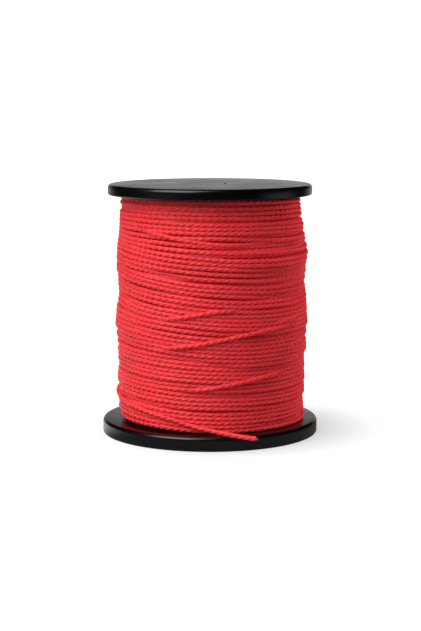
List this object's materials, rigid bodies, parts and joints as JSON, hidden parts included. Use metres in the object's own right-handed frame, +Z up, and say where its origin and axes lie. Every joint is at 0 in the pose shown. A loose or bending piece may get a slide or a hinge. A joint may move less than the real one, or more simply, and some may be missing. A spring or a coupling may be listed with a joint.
{
  "type": "spool of beading cord",
  "caption": "Small flanged plastic spool wound full of thin twisted beading cord, its loose end lying over the lower rim.",
  "frame": {"origin": "middle of the lower flange's underside, on the surface that the spool stands on", "axes": "+Z up along the spool's axis, -Y towards the side that the loose end crosses, +X to the right of that side"},
  "size_m": [0.0412, 0.0435, 0.0475],
  "materials": {
    "flange_plastic": "smooth satin moulding",
    "wound_cord": "twisted synthetic fibre with a soft sheen",
    "loose_cord": "twisted synthetic fibre with a soft sheen"
  },
  "bodies": {
    "root": {"bottom_flange": "flange_plastic", "top_flange": "flange_plastic", "winding": "wound_cord", "loose_end": "loose_cord"}
  },
  "joints": []
}
